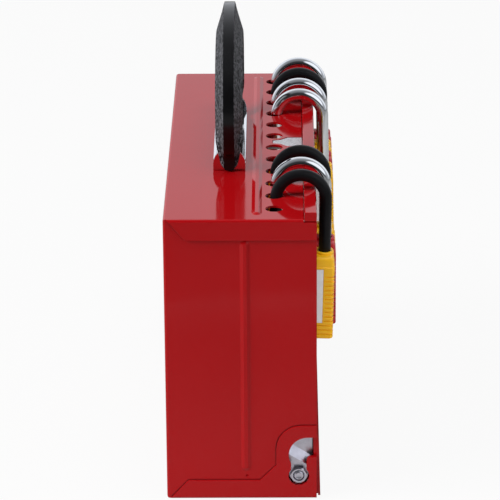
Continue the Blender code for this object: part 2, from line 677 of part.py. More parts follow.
def build_arm(hinge, side, name):
    """Plated arm from a pivot up to the ledge, stepped inward across a sloping joggle."""
    tab_top = COVER_LEDGE - SHEET - SEAT_GAP
    front = FRONT + ARM_FRONT_SETBACK
    back = FRONT + ARM_BACK_SETBACK
    stem_back = PIVOT_Y + ARM_PAD_RADIUS
    outline = arc((PIVOT_Y, PIVOT_HEIGHT), ARM_PAD_RADIUS, 180, 360, 2 * ARC_STEPS)
    outline += [(stem_back, PIVOT_HEIGHT + ARM_PAD_RADIUS),
                (back, PIVOT_HEIGHT + ARM_STEM_BACK + ARM_PAD_RADIUS),
                (back, tab_top), (front, tab_top), (front, JOGGLE_LOW_HEIGHT + COVER_RETURN / 2),
                (PIVOT_Y - ARM_PAD_RADIUS, PIVOT_HEIGHT + ARM_PAD_RADIUS)]
    bm = prism(outline, "X", 0, SHEET)
    slope = Vector((0, math.tan(JOGGLE_SLOPE), -1)).normalized()
    for level in (JOGGLE_LOW_HEIGHT, JOGGLE_HIGH_HEIGHT):
        geometry = bm.verts[:] + bm.edges[:] + bm.faces[:]
        bmesh.ops.bisect_plane(bm, geom=geometry, plane_co=(0, PIVOT_Y, level), plane_no=slope,
                               dist=CUT_TOLERANCE)
    outer = COVER_OUTER
    for vert in bm.verts:
        inward = vert.co.x + joggle_shift(vert.co.y, vert.co.z)
        vert.co.x = side * (outer - inward)
    arm = place("pivot_arm_" + name, bm, "zinc", hinge)
    plate = outer - ARM_JOGGLE - SHEET
    tab_ends = sorted((side * (plate + SHEET / 2), side * (plate - ARM_TAB)))
    tab = box((tab_ends[0], front, tab_top - SHEET), (tab_ends[1], back, tab_top))
    shape_with(arm, tab, "UNION", "tab")
    holes = bmesh.new()
    add_prism(holes, circle((PIVOT_Y, PIVOT_HEIGHT), BOLT_RADIUS + SEAT_GAP, ROD_FACETS), "X",
              *sorted((side * (outer + OVERRUN), side * (outer - SHEET - OVERRUN / 2))))
    shape_with(arm, holes, "DIFFERENCE", "bolt_hole")
    cuts = rivet_holes(arm_rivet_places()[name], tab_top - SHEET, tab_top)
    shape_with(arm, cuts, "DIFFERENCE", "rivet_holes")


def build_rivets(hinge):
    """Flush rivets through the ledge, headed under the arms' tabs."""
    under = COVER_LEDGE - 2 * SHEET - 2 * SEAT_GAP
    for name, places in arm_rivet_places().items():
        for word, centre in zip(("front", "back"), places):
            crown = RIVET_HEAD_RADIUS * RIVET_CROWN_SHARE
            rivet = turned("Z", centre, ((RIVET_RADIUS, COVER_LEDGE), (RIVET_RADIUS, under),
                                         (RIVET_HEAD_RADIUS, under), (crown, under - RIVET_HEAD)))
            place("arm_rivet_%s_%s" % (name, word), rivet, "zinc", hinge)


def hexagon():
    return circle((PIVOT_Y, PIVOT_HEIGHT), NUT_ACROSS_FLATS / 2 / math.cos(math.pi / 6), 6)


def build_pivots(hinge):
    """Bolts from inside through the arms, and the nuts that seat in the hooked slots' pockets."""
    head_face = COVER_INNER - SEAT_GAP
    end = FLAP_OUTER - BOLT_END_SHORT
    nut_inner = COVER_OUTER + SEAT_GAP
    centre = (PIVOT_Y, PIVOT_HEIGHT)
    for side, name in ((-1, "near"), (1, "far")):
        hidden_end = head_face - BOLT_HEAD / 2
        shank = turned("X", centre, ((BOLT_RADIUS, side * end), (BOLT_RADIUS, side * hidden_end)))
        bolt = place("pivot_bolt_" + name, shank, "zinc", hinge)
        head = prism(hexagon(), "X", *sorted((side * head_face, side * (head_face - BOLT_HEAD))))
        shape_with(bolt, head, "UNION", "head")
        body = prism(hexagon(), "X", *sorted((side * nut_inner, side * (nut_inner + NUT_HEIGHT))))
        nut = place("pivot_nut_" + name, body, "zinc", hinge)
        bore = prism(circle(centre, BOLT_RADIUS + SEAT_GAP, ROD_FACETS), "X",
                     *sorted((side * (nut_inner - OVERRUN / 2), side * (FLAP_OUTER + OVERRUN))))
        shape_with(nut, bore, "DIFFERENCE", "bore")


def rounded_body():
    """Outline of a padlock's broad face in its own frame, zero at the top panel's surface."""
    half = PADLOCK_WIDTH / 2
    low = -PADLOCK_DROP
    high = low + PADLOCK_HEIGHT
    top, foot = PADLOCK_TOP_CORNER, PADLOCK_FOOT_CORNER
    steps = ARC_STEPS // 2
    return (arc((half - top, high - top), top, 0, 90, steps)
            + arc((-half + top, high - top), top, 90, 180, steps)
            + arc((-half + foot, low + foot), foot, 180, 270, steps - 1)
            + arc((half - foot, low + foot), foot, 270, 360, steps - 1))


def build_padlock_body(name, frame, finish):
    half_thick = PADLOCK_THICKNESS / 2
    low = -PADLOCK_DROP
    high = low + PADLOCK_HEIGHT
    bm = prism(rounded_body(), "X", -half_thick, half_thick)
    soften(bm, PADLOCK_EDGE, 1, lambda a, b: a.x == b.x)
    body = place(name + "_body", bm, finish, frame)
    for leg, word in ((-1, "outer"), (1, "inner")):
        ring = circle((0, leg * SHACKLE_SPAN / 2), COLLAR_RADIUS, ROD_FACETS)
        shape_with(body, prism(ring, "Z", high - COLLAR_RISE, high + COLLAR_RISE), "UNION", word + "_collar")
    cuts = bmesh.new()
    for leg, depth in ((-1, HEEL_DEPTH), (1, TOE_DEPTH)):
        ring = circle((0, leg * SHACKLE_SPAN / 2), SHACKLE_RADIUS + SEAT_GAP, ROD_FACETS)
        add_prism(cuts, ring, "Z", high - depth - BORE_SPARE, high + OVERRUN)
    ring = circle((0, 0), CYLINDER_RADIUS + SEAT_GAP, ROD_FACETS)
    add_prism(cuts, ring, "Z", low - OVERRUN, low + CYLINDER_LENGTH + 2 * SEAT_GAP)
    for side in (-1, 1):
        half_label, label_low, label_high = label_extent()
        outline = [(-half_label, label_low), (half_label, label_low),
                   (half_label, label_high), (-half_label, label_high)]
        ends = sorted((side * (half_thick - LABEL_RECESS), side * (half_thick + OVERRUN)))
        add_prism(cuts, outline, "X", *ends)
    shape_with(body, cuts, "DIFFERENCE", "cuts")


def label_extent():
    low = -PADLOCK_DROP
    return (PADLOCK_WIDTH / 2 - LABEL_SIDE_MARGIN, low + LABEL_FOOT_MARGIN,
            low + PADLOCK_HEIGHT - LABEL_TOP_MARGIN)


def build_labels(name, frame):
    """A blank plate in the recess of each broad face."""
    half_label, low, high = label_extent()
    gap = SEAT_GAP / 2
    for side, word in ((-1, "near"), (1, "far")):
        floor = PADLOCK_THICKNESS / 2 - LABEL_RECESS + gap
        face = PADLOCK_THICKNESS / 2 - gap
        ends = sorted((side * floor, side * face))
        plate = box((ends[0], -half_label + gap, low + gap), (ends[1], half_label - gap, high - gap))
        place("%s_label_%s" % (name, word), plate, "blank_label", frame)


def build_cylinder(name, frame):
    """Lock cylinder in the foot of a padlock, with its keyway."""
    low = -PADLOCK_DROP
    ring = circle((0, 0), CYLINDER_RADIUS, ROD_FACETS)
    thing = place(name + "_cylinder", prism(ring, "Z", low, low + CYLINDER_LENGTH), "brass", frame)
    keyway = box((-KEYWAY_WIDTH / 2, -KEYWAY_LENGTH / 2, low - OVERRUN),
                 (KEYWAY_WIDTH / 2, KEYWAY_LENGTH / 2, low + KEYWAY_DEPTH))
    shape_with(thing, keyway, "DIFFERENCE", "keyway")


def build_shackle(name, frame, finish):
    """Bent rod: heel leg in front, bend over the rail, toe leg down through the hole."""
    half = SHACKLE_SPAN / 2
    top = -PADLOCK_DROP + PADLOCK_HEIGHT
    bend = SHACKLE_CREST - SHACKLE_RADIUS - half
    stations = [(Vector((0, -half, top - HEEL_DEPTH)), Vector((0, 1, 0)))]
    steps = 2 * ARC_STEPS
    for i in range(steps + 1):
        turn = math.pi * (1 - i / steps)
        inward = Vector((0, -math.cos(turn), -math.sin(turn)))
        stations.append((Vector((0, 0, bend)) - inward * half, inward))
    stations.append((Vector((0, half, top - TOE_DEPTH)), Vector((0, -1, 0))))
    bm = bmesh.new()
    rings = []
    for centre, inward in stations:
        ring = []
        for a, b in circle((0, 0), SHACKLE_RADIUS, ROD_FACETS):
            ring.append(bm.verts.new(centre + inward * a + Vector((b, 0, 0))))
        rings.append(ring)
    close_tube(bm, rings)
    shackle = place(name + "_shackle", bm, finish, frame)
    shackle.data.shade_smooth()
    shackle.data.set_sharp_from_angle(angle=SHACKLE_SHARP)


def build_padlocks():
    for order, (hole, colour, finish, lean) in enumerate(PADLOCKS, start=1):
        name = "padlock_%d" % order
        frame = frame_at(name + "_frame", (hole_x(hole), FRONT + PADLOCK_SETBACK, BOX_HEIGHT), lean)
        build_padlock_body(name, frame, colour + "_plastic")
        build_labels(name, frame)
        build_cylinder(name, frame)
        build_shackle(name, frame, "chrome" if finish == "chrome" else "black_coat")


def build_cover():
    """The hung cover: everything here turns together on the pivot bolts."""
    hinge = frame_at("cover_axis", (0, PIVOT_Y, PIVOT_HEIGHT))
    hinge.matrix_world = Matrix.Translation((0, PIVOT_Y, PIVOT_HEIGHT))
    build_cover_panel(hinge)
    build_top_rail(hinge)
    build_catch(hinge)
    build_arm(hinge, -1, "near")
    build_arm(hinge, 1, "far")
    build_rivets(hinge)
    build_pivots(hinge)
    for child in hinge.children:
        child.matrix_parent_inverse = Matrix.Translation((0, -PIVOT_Y, -PIVOT_HEIGHT))


def main():
    clear_scene()
    build_case()
    build_bracket()
    build_handle()
    build_cover()
    build_padlocks()


main()
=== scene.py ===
"""Dressed scene of the group lockout box: camera, light, floor, materials and the detailed pieces.

Metres, in the frame's own axes: X runs along the box, the front faces -Y, +Z is up.
"""

import json
import math

import bmesh
import bpy
from mathutils import Matrix, Vector


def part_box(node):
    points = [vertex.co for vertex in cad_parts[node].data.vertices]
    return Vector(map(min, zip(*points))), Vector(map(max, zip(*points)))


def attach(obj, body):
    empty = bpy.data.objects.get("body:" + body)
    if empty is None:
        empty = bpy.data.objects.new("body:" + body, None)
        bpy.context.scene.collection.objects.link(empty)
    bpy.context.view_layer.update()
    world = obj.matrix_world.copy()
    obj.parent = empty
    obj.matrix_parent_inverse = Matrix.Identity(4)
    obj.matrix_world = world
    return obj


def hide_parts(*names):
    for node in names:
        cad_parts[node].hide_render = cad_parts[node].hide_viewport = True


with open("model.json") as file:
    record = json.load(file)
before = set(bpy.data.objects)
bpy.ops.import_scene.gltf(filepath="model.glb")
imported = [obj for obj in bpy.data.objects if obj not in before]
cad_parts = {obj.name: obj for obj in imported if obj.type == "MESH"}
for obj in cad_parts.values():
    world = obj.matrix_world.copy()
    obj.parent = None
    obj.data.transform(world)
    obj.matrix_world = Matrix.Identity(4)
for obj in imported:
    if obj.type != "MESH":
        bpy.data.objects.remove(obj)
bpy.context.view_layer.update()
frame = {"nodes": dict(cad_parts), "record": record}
NODES = frame["nodes"]
RECORD = frame["record"]

# Case
BOX_LENGTH = 0.2430
BOX_DEPTH = 0.0780
BOX_HEIGHT = 0.1550
SHEET = 0.0012
FRONT = -BOX_DEPTH / 2
HOLE_COUNT = 12
HOLE_PITCH = 0.01905
PANEL_SETBACK = 0.0066
DIMPLE_SETBACK = 0.0362
DIMPLE_HEIGHT = 0.0125
DIMPLE_RADIUS = 0.0010
DIMPLE_DEPTH = 0.0008

# End flaps, and the thin dark beads of painted shade along their edges
FLAP_HEIGHT = 0.0111
FLAP_MITRE_START = 0.0017
FLAP_MITRE_RUN = 0.0096
LOW_FLAP_HEIGHT = 0.0104
GUARD_RADIUS = 0.0130
GUARD_SETBACK = 0.0080
GUARD_TOP = 0.0412
GUARD_FOOT = 0.0189
GUARD_RUN = 0.0085
GUARD_STEPS = 12
SHADE_LINE_RADIUS = 0.00028
SHADE_LINE_BACK_GAP = 0.0006
SHADE_LINE_CORNER_GAP = 0.0008
SHADE_LINE_FRONT_GAP = 0.0003
SHADE_LINE_SHARES = ((-0.6, 0.2), (0.2, 1.0), (1.0, 0.9), (1.6, 0.0), (0.4, -0.8))

# Painted shade along the top panel's front edge, in the gap to the rail, on each side of the notch
EDGE_SHADE_RADIUS = 0.00014
EDGE_SHADE_OUT_SHARE = 0.9
EDGE_SHADE_DEPTH = 0.0007
EDGE_SHADE_START = 0.0095
EDGE_SHADE_END = 0.1200
EDGE_SHADE_SIDES = 6

# Handle
HANDLE_SETBACK = 0.0452
HANDLE_AXIS_RISE = 0.0055
HANDLE_FOOT_SPAN = 0.0990
HANDLE_LENGTH = 0.1180
HANDLE_CREST = 0.0757
HANDLE_WIDEST = 0.0307
FOOT_THICKNESS = 0.0029
FOOT_RADIUS = 0.0050
FOOT_TOP_HALF = 0.0058
FOOT_HEIGHT = 0.0030
FOOT_TURNS = (12, 30, 52, 74, 90)
FOOT_RIM_SHARE = 0.9
FOOT_FLARE_SHARES = ((0.0, 0.0), (0.25, 0.25), (0.5, 0.5), (0.8, 1.0))
FOOT_INNER_SHARES = ((0.98, 0.95), (1.0, 0.34))
GRIP_START = 0.0066
GRIP_DEPTH = 0.0195
GRIP_SECTION = ((0.0, 0.0029), (0.0048, 0.0040), (0.0143, 0.0069), (0.0165, 0.0076), (0.0190, 0.0058),
                (0.0195, 0.0026))
GRIP_STEPS = 22
GRIP_CREASE_SHARES = ((0, 0.95), (1, 0.35), (5, 0.2))
GRIP_SMOOTHING = 2

# Padlock bodies: pairs of a rise from the foot, or a drop from the top, and how far the section is set in
PADLOCK_SETBACK = 0.0077
PADLOCK_DROP = 0.0758
PADLOCK_HEIGHT = 0.0450
PADLOCK_WIDTH = 0.0365
PADLOCK_THICKNESS = 0.0182
PLAIN_TOP = 0.0088
TOP_STEP = 0.0052
RIB_START = 0.0022
RIB_PITCH = 0.00245
RIB_DEPTH = 0.00060
RIB_CREST = 0.00140
RIB_FLANK = 0.00022
CORNER = 0.0017
CORNER_STEPS = 4
CORNER_INSET_SHARE = 0.5
FOOT_LEVELS = ((0.0, 0.0008), (0.0003, 0.0003), (0.0008, 0.0))
TOP_LEVELS = ((TOP_STEP + 0.0004, 0.0), (TOP_STEP, 0.0005), (0.0016, 0.0005), (0.0010, 0.0007),
              (0.0004, 0.0012), (0.0, 0.0020))

# Padlock plates, collars, bores and shackles
LABEL_TOP_MARGIN = 0.0063
LABEL_FOOT_MARGIN = 0.0088
LABEL_SIDE_MARGIN = 0.0056
LABEL_RECESS = 0.0007
LABEL_RIM = 0.0009
RIM_INSET = 0.00002
COLLAR_RADIUS = 0.0048
COLLAR_RISE = 0.0012
COLLAR_ROOT = 0.0031
COLLAR_ROUNDING = ((0.0, 0.0005), (0.00015, 0.0002), (0.0005, 0.0))
CYLINDER_RADIUS = 0.0062
CYLINDER_DEPTH = 0.0186
BORE_GAP = 0.0003
BORE_END_GAP = 0.001
CUT_OVERRUN = 0.002
SHACKLE_RADIUS = 0.00315
SHACKLE_SPAN = 0.0257
SHACKLE_CREST = 0.0144
HEEL_DEPTH = 0.0200
TOE_DEPTH = 0.0090
LEG_END_LIFTS = (0.0, 0.0004, 0.0012)
LEG_END_SHARES = (0.55, 0.85, 1.0)
BEND_STEPS = 56
ROD_SIDES = 28
BORE_SIDES = 32

# Padlocks in their holes, counted from the far end
HANGS_OUT = math.radians(-0.8)
HANGS_PLUMB = 0.0
HANGS_IN = math.radians(1.5)
PADLOCKS = (
    (1, "red", "chrome", HANGS_OUT),
    (2, "yellow", "black", HANGS_OUT),
    (3, "red", "chrome", HANGS_OUT),
    (4, "yellow", "chrome", HANGS_OUT),
    (9, "yellow", "black", HANGS_PLUMB),
    (10, "red", "chrome", HANGS_PLUMB),
    (11, "yellow", "black", HANGS_IN),
)

# Pivots
PIVOT_Y = FRONT + 0.0093
PIVOT_HEIGHT = 0.0129
PIVOT_SIDES = 48
BOLT_RADIUS = 0.0025
BOLT_HEAD = 0.0033
BOLT_TIP = ((0.0006, 0.0), (0.0001, 0.0004), (0.0, 0.0008), (0.0003, 0.0013))
THREAD_START = 0.0040
THREAD_PITCH = 0.0008
THREAD_DEPTH = 0.0003
THREAD_GAP = 0.0003
LAST_THREAD_SHARE = 1.4
NUT_FLAT = 0.0040
NUT_FACE_SHARE = 0.985
NUT_FACE_SINK = 0.00002
NUT_MOUTH = 0.0006
NUT_MOUTH_DEPTH = 0.0004
CHAMFER_START = NUT_FLAT * 0.97
CHAMFER_SLOPE = 0.6

# Softened edges of the carried-over solids
EDGE_WIDTHS = {
    "case_shell": 0.00022, "cover_panel": 0.0002, "cover_top_rail": 0.0003, "handle_bracket": 0.0003,
    "pivot_arm_near": 0.0002, "pivot_arm_far": 0.0002, "cover_catch": 0.0002,
}
EDGE_ANGLE = math.radians(50)
EDGE_SEGMENTS = 2
WELD_DISTANCE = 0.00001

# The part of a noise's range that colours and roughness follow
NOISE_SPAN = (0.30, 0.70)

# Studio; a fade is where it starts and ends and the strengths there
FLOOR_HALF = 5.0
FLOOR_CELLS = 24
FLOOR_DROP = 0.0004
FLOOR_TONES = (0.43, 0.45)
FLOOR_MOTTLE = (3.0, 3.0)
FLOOR_ROUGHNESS = 0.9
FLOOR_FADE = (-0.38, -0.18, 0.36, 0.85)
FLOOR_MIRROR_SHARE = 0.08
FLOOR_CAMERA_SHARE = 0.93
AHEAD_FADE = (-0.05, 0.55, 0.42, 1.0)
BEHIND_FADE = (-0.85, -0.20, 0.08, 1.0)
OVERHEAD_FADE = (0.60, 0.92, 1.0, 0.62)
WINDOW_FADE = (0.84, 0.93, 0.0, 1.15)
WINDOW_WAY = (-0.50, -0.66, 0.56)
SOFT_LIGHT = 0.30
MIRROR_TINT = (0.96, 0.99, 1.06, 1)
BOX_MIDDLE = (0.0, 0.0, 0.10)
LAMPS = (
    ("key", (-0.57, 1.48, 1.15), BOX_MIDDLE, (1.1, 1.1), 53.0),
    ("fill", (-1.1, -1.5, 0.8), BOX_MIDDLE, (1.4, 1.4), 10.5),
    ("top", (-0.40, 0.0, 1.9), BOX_MIDDLE, (1.3, 0.7), 17.0),
    ("low", (-0.40, 0.04, 0.025), (-0.12, 0.0, 0.03), (0.6, 0.05), 0.50),
)

# Camera, fitted to the edges of the box
CAMERA_PLACE = (-1.6182, -0.02029, 0.7123)
CAMERA_YAW = math.radians(0.580)
CAMERA_PITCH = math.radians(20.962)
CAMERA_ROLL = math.radians(-0.418)
FOCAL_PIXELS = 3167.2
PHOTO_PIXELS = 500
SENSOR_WIDTH = 36
CLIP_START = 0.01
CLIP_END = 50


# Shader helpers

def new_material(name):
    made = bpy.data.materials.new(name)
    made.use_nodes = True
    tree = made.node_tree
    return made, tree, tree.nodes["Principled BSDF"]


def coordinates(tree):
    return tree.nodes.new("ShaderNodeTexCoord").outputs["Object"]


def noise(tree, scale, detail=3.0, roughness=0.55):
    node = tree.nodes.new("ShaderNodeTexNoise")
    node.inputs["Scale"].default_value = scale
    node.inputs["Detail"].default_value = detail
    node.inputs["Roughness"].default_value = roughness
    tree.links.new(coordinates(tree), node.inputs["Vector"])
    return node.outputs["Fac"]


def ramp(tree, value, dark, light, span=NOISE_SPAN):
    """Colour from dark to light as the value crosses the span."""
    node = tree.nodes.new("ShaderNodeValToRGB")
    for element, at, colour in zip(node.color_ramp.elements, span, (dark, light)):
        element.position = at
        element.color = (*colour, 1)
    tree.links.new(value, node.inputs["Fac"])
    return node.outputs["Color"]


def fade(tree, value, start, end, before, after, smooth=True):
    """A value that goes from before to after while another goes from start to end."""
    node = tree.nodes.new("ShaderNodeMapRange")
    if smooth:
        node.interpolation_type = "SMOOTHSTEP"
    for word, number in (("From Min", start), ("From Max", end), ("To Min", before), ("To Max", after)):
        node.inputs[word].default_value = number
    tree.links.new(value, node.inputs["Value"])
    return node.outputs["Result"]


def spread(tree, value, low, high):
    return fade(tree, value, *NOISE_SPAN, low, high, smooth=False)


def bump(tree, shader, height, strength, distance, before=None, inward=False):
    node = tree.nodes.new("ShaderNodeBump")
    node.invert = inward
    node.inputs["Strength"].default_value = strength
    node.inputs["Distance"].default_value = distance
    tree.links.new(height, node.inputs["Height"])
    if before:
        tree.links.new(before, node.inputs["Normal"])
    tree.links.new(node.outputs["Normal"], shader.inputs["Normal"])
    return node.outputs["Normal"]


def near_point(tree, point, radius):
    """One at a point, falling to zero at a radius from it."""
    distance = tree.nodes.new("ShaderNodeVectorMath")
    distance.operation = "DISTANCE"
    distance.inputs[1].default_value = point
    tree.links.new(coordinates(tree), distance.inputs[0])
    return fade(tree, distance.outputs["Value"], 0.0, radius, 1.0, 0.0)


# Materials

def surface(name, dark, light, tone, sheen, gloss, relief, depth, span=NOISE_SPAN, metallic=0.0,
            specular=0.5):
    """A mottled colour, an uneven gloss and a fine relief.

    tone, sheen and relief are the scale, detail and perhaps roughness of the noise behind each. gloss is
    the roughness range, and depth is the relief's strength and distance.
    """
    made, tree, shader = new_material(name)
    tree.links.new(ramp(tree, noise(tree, *tone), dark, light, span), shader.inputs["Base Color"])
    tree.links.new(spread(tree, noise(tree, *sheen), *gloss), shader.inputs["Roughness"])
    bump(tree, shader, noise(tree, *relief), *depth)
    shader.inputs["Metallic"].default_value = metallic
    shader.inputs["Specular IOR Level"].default_value = specular
    return made


def nylon(name, dark, light):
    return surface(name, dark, light, tone=(70.0, 4.0), sheen=(380.0, 4.0), gloss=(0.36, 0.50),
                   relief=(1600.0, 3.0), depth=(0.16, 0.00012))


def painted_steel():
    """Gloss paint with orange peel, a slow wave and one pressed dimple on the near end wall."""
    made, tree, shader = new_material("gloss_red_paint")
    tone = ramp(tree, noise(tree, 9.0, 4.0), (0.247, 0.0018, 0.0030), (0.268, 0.0025, 0.0040))
    tree.links.new(tone, shader.inputs["Base Color"])
    tree.links.new(spread(tree, noise(tree, 60.0, 5.0), 0.055, 0.095), shader.inputs["Roughness"])
    shader.inputs["IOR"].default_value = 1.31
    peel = bump(tree, shader, noise(tree, 520.0, 2.0), strength=0.05, distance=0.00006)
    wave = bump(tree, shader, noise(tree, 38.0, 1.0), strength=0.10, distance=0.0006, before=peel)
    centre = (-BOX_LENGTH / 2 + SHEET, FRONT + DIMPLE_SETBACK, DIMPLE_HEIGHT)
    dimple = near_point(tree, centre, DIMPLE_RADIUS)
    bump(tree, shader, dimple, strength=1.0, distance=DIMPLE_DEPTH, before=wave, inward=True)
    return made


LOOKS = {
    # Painted shade: the dark red of the thin beads that stand for shade along the flaps' edges and the
    # panel's front edge
    "painted_shade": surface("painted_crevice_shade", (0.060, 0.0012, 0.0020), (0.105, 0.0020, 0.0030),
                    tone=(40.0, 4.0), sheen=(200.0, 3.0), gloss=(0.40, 0.60),
                    relief=(900.0, 2.0), depth=(0.10, 0.0001), specular=0.2),
    "red_paint": painted_steel(),
    "zinc": surface("zinc_plate", (0.50, 0.49, 0.56), (0.66, 0.65, 0.72),
                    tone=(160.0, 6.0, 0.7), sheen=(420.0, 4.0), gloss=(0.26, 0.38),
                    relief=(900.0, 3.0), depth=(0.18, 0.00015), metallic=1.0),
    "cast": surface("cast_zinc", (0.33, 0.33, 0.35), (0.74, 0.74, 0.76),
                    tone=(1500.0, 3.0, 0.8), sheen=(700.0, 3.0), gloss=(0.42, 0.62),
                    relief=(1500.0, 3.0, 0.8), depth=(0.45, 0.0002), span=(0.36, 0.60), metallic=0.75),
    "chrome": surface("bright_chrome", (0.78, 0.80, 0.82), (0.84, 0.86, 0.88),
                      tone=(120.0, 4.0), sheen=(300.0, 4.0), gloss=(0.05, 0.10),
                      relief=(260.0, 2.0), depth=(0.03, 0.0001), metallic=1.0),
    "black_grip": surface("grip_grain", (0.0020, 0.0020, 0.0028), (0.100, 0.101, 0.112),
                          tone=(700.0, 2.0, 0.7), sheen=(500.0, 2.0), gloss=(0.45, 0.60),
                          relief=(700.0, 2.0, 0.7), depth=(1.0, 0.0005), span=(0.45, 0.60), specular=0.08),
    "grip_rim": surface("grip_smooth", (0.0022, 0.0022, 0.0025), (0.0040, 0.0040, 0.0045),
                        tone=(90.0, 4.0), sheen=(240.0, 4.0), gloss=(0.16, 0.24),
                        relief=(800.0, 3.0), depth=(0.04, 0.00006), specular=0.28),
    "black_coat": surface("black_vinyl", (0.0028, 0.0028, 0.0034), (0.0050, 0.0050, 0.0058),
                          tone=(110.0, 4.0), sheen=(350.0, 4.0), gloss=(0.34, 0.46),
                          relief=(1300.0, 3.0), depth=(0.10, 0.0001), specular=0.17),
    "yellow_plastic": nylon("yellow_nylon", (0.94, 0.49, 0.006), (0.97, 0.55, 0.010)),
    "red_plastic": nylon("red_nylon", (0.42, 0.008, 0.012), (0.50, 0.012, 0.016)),
    "blank_label": surface("plain_film", (0.92, 0.92, 0.92), (0.95, 0.95, 0.95),
                           tone=(150.0, 3.0), sheen=(300.0, 3.0), gloss=(0.24, 0.34),
                           relief=(600.0, 2.0), depth=(0.05, 0.0001)),
    "brass": surface("lock_brass", (0.56, 0.36, 0.13), (0.74, 0.52, 0.22),
                     tone=(300.0, 4.0), sheen=(500.0, 3.0), gloss=(0.25, 0.42),
                     relief=(1200.0, 3.0), depth=(0.12, 0.0001), metallic=1.0),
}


# Mesh helpers

def finished(name, bm, slot, body, replaced, looks=None, angle=32):
    """A new piece that stands for CAD nodes, rides on a body and takes its finish from a slot."""
    bmesh.ops.recalc_face_normals(bm, faces=bm.faces)
    mesh = bpy.data.meshes.new(name)
    bm.to_mesh(mesh)
    bm.free()
    return placed(name, mesh, slot, body, replaced, looks, angle)


def placed(name, mesh, slot, body, replaced, looks=None, angle=32):
    piece = bpy.data.objects.new(name, mesh)
    bpy.context.scene.collection.objects.link(piece)
    if not mesh.materials:
        for look in looks or (slot,):
            mesh.materials.append(LOOKS[look])
    mesh.shade_smooth()
    mesh.set_sharp_from_angle(angle=math.radians(angle))
    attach(piece, body)
    if replaced:
        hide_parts(*replaced)
    return piece


def stack(bm, rings, looped=False):
    """Skin a row of equal rings; close both ends, or join the last ring to the first."""
    made = [[bm.verts.new(point) for point in ring] for ring in rings]
    count = len(made[0])
    pairs = list(zip(made, made[1:]))
    if looped:
        pairs.append((made[0], made[-1]))
    else:
        bm.faces.new(made[0])
        bm.faces.new(list(reversed(made[-1])))
    for lower, upper in pairs:
        for i in range(count):
            j = (i + 1) % count
            bm.faces.new((lower[i], lower[j], upper[j], upper[i]))


def ring_xy(radius, z, centre=(0.0, 0.0)):
    turns = [math.tau * i / BORE_SIDES for i in range(BORE_SIDES)]
    return [Vector((centre[0] + radius * math.cos(turn), centre[1] + radius * math.sin(turn), z))
            for turn in turns]


def slab(low, high):
    bm = bmesh.new()
    (x0, y0, z0), (x1, y1, z1) = low, high
    stack(bm, [[Vector((x0, y0, z)), Vector((x1, y0, z)), Vector((x1, y1, z)), Vector((x0, y1, z))]
               for z in (z0, z1)])
    return bm


def temporary(bm):
    """An object for a Boolean step, removed again when the step is done."""
    bmesh.ops.recalc_face_normals(bm, faces=bm.faces)
    mesh = bpy.data.meshes.new("work")
    bm.to_mesh(mesh)
    bm.free()
    thing = bpy.data.objects.new("work", mesh)
    bpy.context.scene.collection.objects.link(thing)
    return thing


def carved(bm, steps):
    """The mesh of a solid after a row of Boolean steps, each an operation and a helper solid."""
    base = temporary(bm)
    helpers = []
    for operation, helper in steps:
        thing = temporary(helper)
        helpers.append(thing)
        step = base.modifiers.new("step", "BOOLEAN")
        step.operation = operation
        step.solver = "EXACT"
        step.object = thing
    bpy.context.view_layer.update()
    ready = base.evaluated_get(bpy.context.evaluated_depsgraph_get())
    mesh = bpy.data.meshes.new_from_object(ready)
    for thing in helpers + [base]:
        bpy.data.objects.remove(thing, do_unlink=True)
    return mesh


# Handle

def foot_stations():
    """The stations of a foot, from below its pivot to where the loop starts."""
    levels = []
    for degrees in FOOT_TURNS:
        turn = math.radians(degrees)
        levels.append((-FOOT_RADIUS * math.cos(turn), FOOT_RADIUS * math.sin(turn)))
    levels.append((FOOT_HEIGHT, FOOT_TOP_HALF))
    stations = []
    for height, half in levels:
        rim = min(GRIP_SECTION[0][1], half * FOOT_RIM_SHARE)
        outline = [(FOOT_THICKNESS * deep, rim + (half - rim) * flare) for deep, flare in FOOT_FLARE_SHARES]
        outline += [(FOOT_THICKNESS * deep, half * across) for deep, across in FOOT_INNER_SHARES]
        stations.append((Vector((HANDLE_FOOT_SPAN / 2, 0, height)), Vector((1, 0, 0)), outline))
    return stations


def handle_stations():
    """Rim points in the handle's frame, outward directions, and each section's outline there."""
    stations = foot_stations()
    middle = HANDLE_WIDEST - HANDLE_AXIS_RISE
    rise = HANDLE_CREST - HANDLE_WIDEST
    reach = HANDLE_LENGTH / 2
    start = math.asin((GRIP_START - middle) / rise)
    for i in range(GRIP_STEPS + 1):
        turn = start + (math.pi / 2 - start) * i / GRIP_STEPS
        point = Vector((reach * math.cos(turn), 0, middle + rise * math.sin(turn)))
        out = Vector((math.cos(turn) * rise, 0, math.sin(turn) * reach)).normalized()
        room = 1
        if i == 0:
            room = (point.x - HANDLE_FOOT_SPAN / 2 + FOOT_THICKNESS) / out.x / GRIP_DEPTH
        stations.append((point, out, [(deep * room, half) for deep, half in GRIP_SECTION]))
    flip = Vector((-1, 1, 1))
    mirrored = [(point * flip, out * flip, outline) for point, out, outline in reversed(stations[:-1])]
    return stations + mirrored


